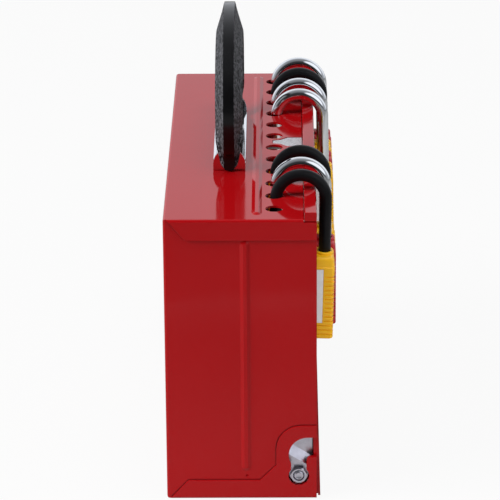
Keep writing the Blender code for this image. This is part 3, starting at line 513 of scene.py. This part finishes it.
def build_handle():
    """Moulded loop: a smooth rim whose edges stay crisp, and grained flanks."""
    bm = bmesh.new()
    crease = bm.edges.layers.float.new("crease_edge")
    axis = Vector((0, FRONT + HANDLE_SETBACK, BOX_HEIGHT + HANDLE_AXIS_RISE))
    rings = []
    for point, out, outline in handle_stations():
        around = list(outline) + [(deep, -across) for deep, across in reversed(outline)]
        rings.append([bm.verts.new(axis + point - out * deep + Vector((0, across, 0)))
                      for deep, across in around])
    count = len(rings[0])
    bm.faces.new(rings[0])
    bm.faces.new(list(reversed(rings[-1])))
    creases = {}
    for place, share in GRIP_CREASE_SHARES:
        creases[place] = creases[count - 1 - place] = share
    for lower, upper in zip(rings, rings[1:]):
        for i in range(count):
            j = (i + 1) % count
            face = bm.faces.new((lower[i], lower[j], upper[j], upper[i]))
            face.material_index = 1 if i == count - 1 else 0
        for i, share in creases.items():
            bm.edges.get((lower[i], upper[i]))[crease] = share
    looks = ("black_grip", "grip_rim")
    handle = finished("handle_grip", bm, "black_grip", "handle", ["handle_loop"], looks, angle=60)
    smooth = handle.modifiers.new("smooth", "SUBSURF")
    smooth.levels = GRIP_SMOOTHING
    smooth.render_levels = GRIP_SMOOTHING


# Padlocks

def padlock_levels():
    """Heights of a padlock body's sections and how far each is set in: ribs, then a stepped plain top."""
    low = -PADLOCK_DROP
    high = low + PADLOCK_HEIGHT
    levels = [(low + rise, inset) for rise, inset in FOOT_LEVELS]
    z = low + RIB_START
    groove = RIB_PITCH - RIB_CREST
    while z + groove < high - PLAIN_TOP:
        levels += [(z, 0.0), (z + RIB_FLANK, RIB_DEPTH), (z + groove - RIB_FLANK, RIB_DEPTH),
                   (z + groove, 0.0)]
        z += RIB_PITCH
    return levels + [(high - drop, inset) for drop, inset in TOP_LEVELS]


def rounded_section(half_x, half_y, corner, z):
    points = []
    for quarter, (way_x, way_y) in enumerate(((1, 1), (-1, 1), (-1, -1), (1, -1))):
        centre_x, centre_y = way_x * (half_x - corner), way_y * (half_y - corner)
        for i in range(CORNER_STEPS + 1):
            turn = math.pi / 2 * (quarter + i / CORNER_STEPS)
            x = centre_x + corner * math.cos(turn)
            y = centre_y + corner * math.sin(turn)
            points.append(Vector((x, y, z)))
    return points


def bore(radius, low, high, centre=(0.0, 0.0)):
    bm = bmesh.new()
    stack(bm, [ring_xy(radius + BORE_GAP, z, centre) for z in (low, high)])
    return bm


def collar(high, centre):
    bm = bmesh.new()
    crest = high + COLLAR_RISE
    rings = [ring_xy(COLLAR_RADIUS, high - COLLAR_ROOT, centre)]
    rings += [ring_xy(COLLAR_RADIUS - inset, crest - drop, centre) for inset, drop in COLLAR_ROUNDING]
    stack(bm, rings)
    return bm


def padlock_mesh():
    """Ribbed moulded body with a rimmed recess for the plate on each broad face, collars and bores."""
    low = -PADLOCK_DROP
    high = low + PADLOCK_HEIGHT
    side = PADLOCK_THICKNESS / 2
    half_label = PADLOCK_WIDTH / 2 - LABEL_SIDE_MARGIN
    label_low, label_high = low + LABEL_FOOT_MARGIN, high - LABEL_TOP_MARGIN
    sections = []
    for z, inset in padlock_levels():
        corner = CORNER - inset * CORNER_INSET_SHARE
        sections.append(rounded_section(side - inset, PADLOCK_WIDTH / 2 - inset, corner, z))
    body = bmesh.new()
    stack(body, sections)
    rim = slab((RIM_INSET - side, -half_label - LABEL_RIM, label_low - LABEL_RIM),
               (side - RIM_INSET, half_label + LABEL_RIM, label_high + LABEL_RIM))
    steps = [("UNION", rim)]
    for way in (-1, 1):
        inner, outer = sorted((way * (side - LABEL_RECESS), way * (side + CUT_OVERRUN)))
        steps.append(("DIFFERENCE", slab((inner, -half_label, label_low), (outer, half_label, label_high))))
    for leg, depth in ((-1, HEEL_DEPTH), (1, TOE_DEPTH)):
        centre = (0.0, leg * SHACKLE_SPAN / 2)
        steps.append(("UNION", collar(high, centre)))
        foot = high - depth - BORE_END_GAP
        steps.append(("DIFFERENCE", bore(SHACKLE_RADIUS, foot, high + 2 * CUT_OVERRUN, centre)))
    steps.append(("DIFFERENCE", bore(CYLINDER_RADIUS, low - CUT_OVERRUN, low + CYLINDER_DEPTH)))
    return carved(body, steps)


def shackle_mesh(matrix):
    """Bent rod with rounded ends: heel leg in front, bend over the rail, toe leg through the hole."""
    half = SHACKLE_SPAN / 2
    top = -PADLOCK_DROP + PADLOCK_HEIGHT
    bend = SHACKLE_CREST - SHACKLE_RADIUS - half
    ends = list(zip(LEG_END_LIFTS, LEG_END_SHARES))
    stations = []
    for lift, share in ends:
        stations.append((Vector((0, -half, top - HEEL_DEPTH + lift)), Vector((0, 1, 0)), share))
    for i in range(BEND_STEPS + 1):
        turn = math.pi * (1 - i / BEND_STEPS)
        inward = Vector((0, -math.cos(turn), -math.sin(turn)))
        stations.append((Vector((0, 0, bend)) - inward * half, inward, 1.0))
    for lift, share in reversed(ends):
        stations.append((Vector((0, half, top - TOE_DEPTH + lift)), Vector((0, -1, 0)), share))
    turns = [math.tau * i / ROD_SIDES for i in range(ROD_SIDES)]
    rings = []
    for centre, inward, share in stations:
        spokes = [inward * math.cos(turn) + Vector((math.sin(turn), 0, 0)) for turn in turns]
        rings.append([matrix @ (centre + spoke * SHACKLE_RADIUS * share) for spoke in spokes])
    bm = bmesh.new()
    stack(bm, rings)
    return bm


def build_padlocks():
    shared = padlock_mesh()
    for order, (hole, colour, finish, lean) in enumerate(PADLOCKS, start=1):
        x = ((HOLE_COUNT + 1) / 2 - hole) * HOLE_PITCH
        place = Matrix.Translation((x, FRONT + PADLOCK_SETBACK, BOX_HEIGHT))
        matrix = place @ Matrix.Rotation(lean, 4, "X")
        mesh = shared.copy()
        mesh.transform(matrix)
        name = "padlock_%d" % order
        placed(name + "_moulding", mesh, colour + "_plastic", name, [name + "_body"], angle=24)
        slot = "chrome" if finish == "chrome" else "black_coat"
        body = "shackle_%d" % order
        finished(name + "_bow", shackle_mesh(matrix), slot, body, [name + "_shackle"], angle=60)
    bpy.data.meshes.remove(shared)


# Pivots

def round_ring(x, radius):
    turns = [math.tau * i / PIVOT_SIDES for i in range(PIVOT_SIDES)]
    return [Vector((x, PIVOT_Y + radius * math.cos(turn), PIVOT_HEIGHT + radius * math.sin(turn)))
            for turn in turns]


def hex_ring(x, side, cut):
    """Hexagon round a pivot; cut is 1 or -1 for the way its corners are chamfered, or 0 for none."""
    ring = []
    for i in range(PIVOT_SIDES):
        turn = math.tau * i / PIVOT_SIDES
        radius = NUT_FLAT / math.cos(turn % (math.pi / 3) - math.pi / 6)
        at = x + side * cut * max(0.0, radius - CHAMFER_START) * CHAMFER_SLOPE
        ring.append(Vector((at, PIVOT_Y + radius * math.cos(turn), PIVOT_HEIGHT + radius * math.sin(turn))))
    return ring


def build_nut(side, name):
    low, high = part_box("pivot_nut_" + name)
    inner, outer = (low.x, high.x) if side > 0 else (high.x, low.x)
    bm = bmesh.new()
    stack(bm, [hex_ring(inner, side, 1), hex_ring(outer, side, -1),
               round_ring(outer, CHAMFER_START * NUT_FACE_SHARE),
               round_ring(outer - side * NUT_FACE_SINK, BOLT_RADIUS + NUT_MOUTH),
               round_ring(outer - side * NUT_MOUTH_DEPTH, BOLT_RADIUS + THREAD_GAP),
               round_ring(inner, BOLT_RADIUS + THREAD_GAP)], looped=True)
    finished("pivot_hex_" + name, bm, "zinc", "cover", ["pivot_nut_" + name], angle=28)


def build_bolt(side, name):
    low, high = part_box("pivot_bolt_" + name)
    tail, end = (low.x, high.x) if side > 0 else (high.x, low.x)
    head = tail + side * BOLT_HEAD
    rings = [hex_ring(tail, side, 1), hex_ring(head, side, 0), round_ring(head, BOLT_RADIUS)]
    x = tail + side * THREAD_START
    while (end - x) * side > THREAD_PITCH * LAST_THREAD_SHARE:
        rings += [round_ring(x, BOLT_RADIUS),
                  round_ring(x + side * THREAD_PITCH / 2, BOLT_RADIUS - THREAD_DEPTH)]
        x += side * THREAD_PITCH
    rings += [round_ring(end - side * back, BOLT_RADIUS - inset) for back, inset in BOLT_TIP]
    bm = bmesh.new()
    stack(bm, rings)
    finished("pivot_screw_" + name, bm, "zinc", "cover", ["pivot_bolt_" + name], angle=40)


def build_pivots():
    """Chamfered nuts and threaded bolts, in the place of the plain ones."""
    for side, name in ((-1, "near"), (1, "far")):
        build_nut(side, name)
        build_bolt(side, name)


# Painted shade: thin dark beads for the shade in the steps along the free edges of the sheet

def flap_edges():
    """The edges of an end wall's two flaps: a name, points of setback and height, and the wall's side."""
    start = BOX_DEPTH - FLAP_MITRE_START
    first = start - SHADE_LINE_BACK_GAP
    mitre = start - FLAP_MITRE_RUN
    under = BOX_HEIGHT - FLAP_HEIGHT
    top = [(first, BOX_HEIGHT - SHADE_LINE_CORNER_GAP), (mitre, under), (SHADE_LINE_FRONT_GAP, under)]
    back = GUARD_SETBACK + GUARD_RADIUS
    low = [(first, SHADE_LINE_CORNER_GAP), (mitre, LOW_FLAP_HEIGHT), (back + GUARD_RUN, LOW_FLAP_HEIGHT),
           (back, GUARD_FOOT)]
    for i in range(GUARD_STEPS + 1):
        turn = math.pi / 2 * i / GUARD_STEPS
        low.append((GUARD_SETBACK + GUARD_RADIUS * math.cos(turn),
                    GUARD_TOP - GUARD_RADIUS + GUARD_RADIUS * math.sin(turn)))
    low.append((SHADE_LINE_FRONT_GAP, GUARD_TOP))
    return (("top", top, 1), ("low", low, -1))


def flap_shade_line(side, points, way):
    """A dark bead of painted shade on a flap's free edge; way says on which side of the path the wall lies.
    """
    wall = BOX_LENGTH / 2 - SHEET
    path = [Vector((FRONT + setback, height)) for setback, height in points]
    rings = []
    for i, point in enumerate(path):
        along = (path[min(i + 1, len(path) - 1)] - path[max(i - 1, 0)]).normalized()
        out = Vector((-along.y, along.x)) * SHADE_LINE_RADIUS * way
        ring = []
        for across, proud in SHADE_LINE_SHARES:
            spot = point + out * across
            ring.append(Vector((side * (wall + proud * SHADE_LINE_RADIUS), spot.x, spot.y)))
        rings.append(ring)
    bm = bmesh.new()
    stack(bm, rings)
    return bm


def edge_shade_line(side):
    """A thin dark bead of painted shade along the top panel's front edge, from the notch to the end wall.
    """
    out = EDGE_SHADE_RADIUS * EDGE_SHADE_OUT_SHARE
    middle = Vector((0, FRONT + PANEL_SETBACK - out, BOX_HEIGHT - EDGE_SHADE_DEPTH))
    around = []
    for i in range(EDGE_SHADE_SIDES):
        turn = side * math.tau * i / EDGE_SHADE_SIDES
        y = middle.y + EDGE_SHADE_RADIUS * math.cos(turn)
        z = middle.z + EDGE_SHADE_RADIUS * math.sin(turn)
        around.append((y, z))
    bm = bmesh.new()
    stack(bm, [[Vector((side * x, y, z)) for y, z in around] for x in (EDGE_SHADE_START, EDGE_SHADE_END)])
    return bm


def build_shade_lines():
    for side, name in ((-1, "near"), (1, "far")):
        for word, points, way in flap_edges():
            bead = flap_shade_line(side, points, way)
            finished("seam_%s_%s" % (name, word), bead, "red_paint", "case", [], ("painted_shade",), angle=60)
        finished("seam_%s_edge" % name, edge_shade_line(side), "red_paint", "case", [], ("painted_shade",), angle=60)


# Carried-over solids get their looks and softer edges

def dress_solids():
    slots = {part["node"]: part["material_slot"] for part in RECORD["subparts"]}
    for name, node in NODES.items():
        if node.type != "MESH":
            continue
        look = LOOKS["cast" if name == "cover_catch" else slots[name]]
        if not node.material_slots:
            node.data.materials.append(look)
        for slot in node.material_slots:
            slot.material = look
    for name, width in EDGE_WIDTHS.items():
        weld = NODES[name].modifiers.new("weld", "WELD")
        weld.merge_threshold = WELD_DISTANCE
        edge = NODES[name].modifiers.new("edge", "BEVEL")
        edge.width = width
        edge.segments = EDGE_SEGMENTS
        edge.limit_method = "ANGLE"
        edge.angle_limit = EDGE_ANGLE
        edge.use_clamp_overlap = True


# Studio

def combine(tree, operation, a, b):
    """A maths node on two values, each a socket or a number."""
    node = tree.nodes.new("ShaderNodeMath")
    node.operation = operation
    for socket, value in zip(node.inputs, (a, b)):
        if isinstance(value, float):
            socket.default_value = value
        else:
            tree.links.new(value, socket)
    return node.outputs[0]


def floor_material():
    """Pale and matt, darker far in front; nearly white to the camera and nearly dark in mirrors."""
    made, tree, shader = new_material("pale_floor")
    dark, light = ((tone,) * 3 for tone in FLOOR_TONES)
    mottle = ramp(tree, noise(tree, *FLOOR_MOTTLE), dark, light)
    split = tree.nodes.new("ShaderNodeSeparateXYZ")
    tree.links.new(coordinates(tree), split.inputs["Vector"])
    dim = tree.nodes.new("ShaderNodeVectorMath")
    dim.operation = "SCALE"
    tree.links.new(mottle, dim.inputs[0])
    tree.links.new(fade(tree, split.outputs["X"], *FLOOR_FADE), dim.inputs["Scale"])
    tree.links.new(dim.outputs["Vector"], shader.inputs["Base Color"])
    shader.inputs["Roughness"].default_value = FLOOR_ROUGHNESS
    glow = tree.nodes.new("ShaderNodeEmission")
    path = tree.nodes.new("ShaderNodeLightPath")
    through = combine(tree, "MAXIMUM", path.outputs["Is Glossy Ray"], path.outputs["Is Transmission Ray"])
    mirror_share = combine(tree, "MULTIPLY", through, FLOOR_MIRROR_SHARE)
    camera_share = combine(tree, "MULTIPLY", path.outputs["Is Camera Ray"], FLOOR_CAMERA_SHARE)
    mix = tree.nodes.new("ShaderNodeMixShader")
    tree.links.new(combine(tree, "ADD", mirror_share, camera_share), mix.inputs["Fac"])
    tree.links.new(shader.outputs["BSDF"], mix.inputs[1])
    tree.links.new(glow.outputs["Emission"], mix.inputs[2])
    tree.links.new(mix.outputs["Shader"], tree.nodes["Material Output"].inputs["Surface"])
    return made


def build_floor():
    bm = bmesh.new()
    bmesh.ops.create_grid(bm, x_segments=FLOOR_CELLS, y_segments=FLOOR_CELLS, size=FLOOR_HALF)
    mesh = bpy.data.meshes.new("floor")
    bm.to_mesh(mesh)
    bm.free()
    floor = bpy.data.objects.new("floor", mesh)
    floor.location.z = -FLOOR_DROP
    bpy.context.scene.collection.objects.link(floor)
    mesh.materials.append(floor_material())


def build_world():
    """White to the camera; a plain studio with a dark side behind the camera to shiny surfaces."""
    world = bpy.data.worlds.new("studio")
    bpy.context.scene.world = world
    world.use_nodes = True
    tree = world.node_tree
    background = tree.nodes["Background"]
    path = tree.nodes.new("ShaderNodeLightPath")
    where = tree.nodes.new("ShaderNodeTexCoord").outputs["Generated"]
    split = tree.nodes.new("ShaderNodeSeparateXYZ")
    tree.links.new(where, split.inputs["Vector"])
    toward = tree.nodes.new("ShaderNodeVectorMath")
    toward.operation = "DOT_PRODUCT"
    toward.inputs[1].default_value = Vector(WINDOW_WAY).normalized()
    tree.links.new(where, toward.inputs[0])
    ahead = fade(tree, split.outputs["X"], *AHEAD_FADE)
    behind = fade(tree, split.outputs["X"], *BEHIND_FADE)
    overhead = fade(tree, split.outputs["Z"], *OVERHEAD_FADE)
    window = fade(tree, toward.outputs["Value"], *WINDOW_FADE)
    room = combine(tree, "MULTIPLY", combine(tree, "MULTIPLY", ahead, behind), overhead)
    glossy_ray = path.outputs["Is Glossy Ray"]
    mirrored = combine(tree, "MULTIPLY", glossy_ray, combine(tree, "MAXIMUM", room, window))
    diffuse = combine(tree, "MULTIPLY", combine(tree, "SUBTRACT", 1.0, glossy_ray), SOFT_LIGHT)
    light = combine(tree, "ADD", mirrored, diffuse)
    total = combine(tree, "MAXIMUM", light, path.outputs["Is Camera Ray"])
    tree.links.new(total, background.inputs["Strength"])
    tint = tree.nodes.new("ShaderNodeMix")
    tint.data_type = "RGBA"
    tree.links.new(glossy_ray, tint.inputs["Factor"])
    tint.inputs["A"].default_value = (1, 1, 1, 1)
    tint.inputs["B"].default_value = MIRROR_TINT
    tree.links.new(tint.outputs["Result"], background.inputs["Color"])


def build_lights():
    """Soft area lamps that shiny surfaces don't show."""
    for name, place, target, size, power in LAMPS:
        data = bpy.data.lights.new(name, "AREA")
        data.shape = "RECTANGLE"
        data.size, data.size_y = size
        data.energy = power
        lamp = bpy.data.objects.new(name, data)
        lamp.visible_glossy = False
        lamp.location = place
        lamp.rotation_euler = (Vector(target) - Vector(place)).to_track_quat("-Z", "Y").to_euler()
        bpy.context.scene.collection.objects.link(lamp)


def build_camera():
    """The photograph's camera."""
    data = bpy.data.cameras.new("camera")
    camera = bpy.data.objects.new("camera", data)
    bpy.context.scene.collection.objects.link(camera)
    level = math.cos(CAMERA_PITCH)
    ahead = Vector((level * math.cos(CAMERA_YAW), level * math.sin(CAMERA_YAW), -math.sin(CAMERA_PITCH)))
    right = Vector((math.sin(CAMERA_YAW), -math.cos(CAMERA_YAW), 0))
    up = right.cross(ahead)
    side = math.cos(CAMERA_ROLL) * right + math.sin(CAMERA_ROLL) * up
    top = math.cos(CAMERA_ROLL) * up - math.sin(CAMERA_ROLL) * right
    data.sensor_width = SENSOR_WIDTH
    data.lens = FOCAL_PIXELS / PHOTO_PIXELS * SENSOR_WIDTH
    data.clip_start = CLIP_START
    data.clip_end = CLIP_END
    matrix = Matrix((side, top, -ahead)).transposed().to_4x4()
    matrix.translation = Vector(CAMERA_PLACE)
    camera.matrix_world = matrix
    bpy.context.scene.camera = camera


build_camera()
build_world()
build_lights()
build_floor()
dress_solids()
build_handle()
build_padlocks()
build_pivots()
build_shade_lines()
bpy.context.scene.view_settings.view_transform = "Standard"
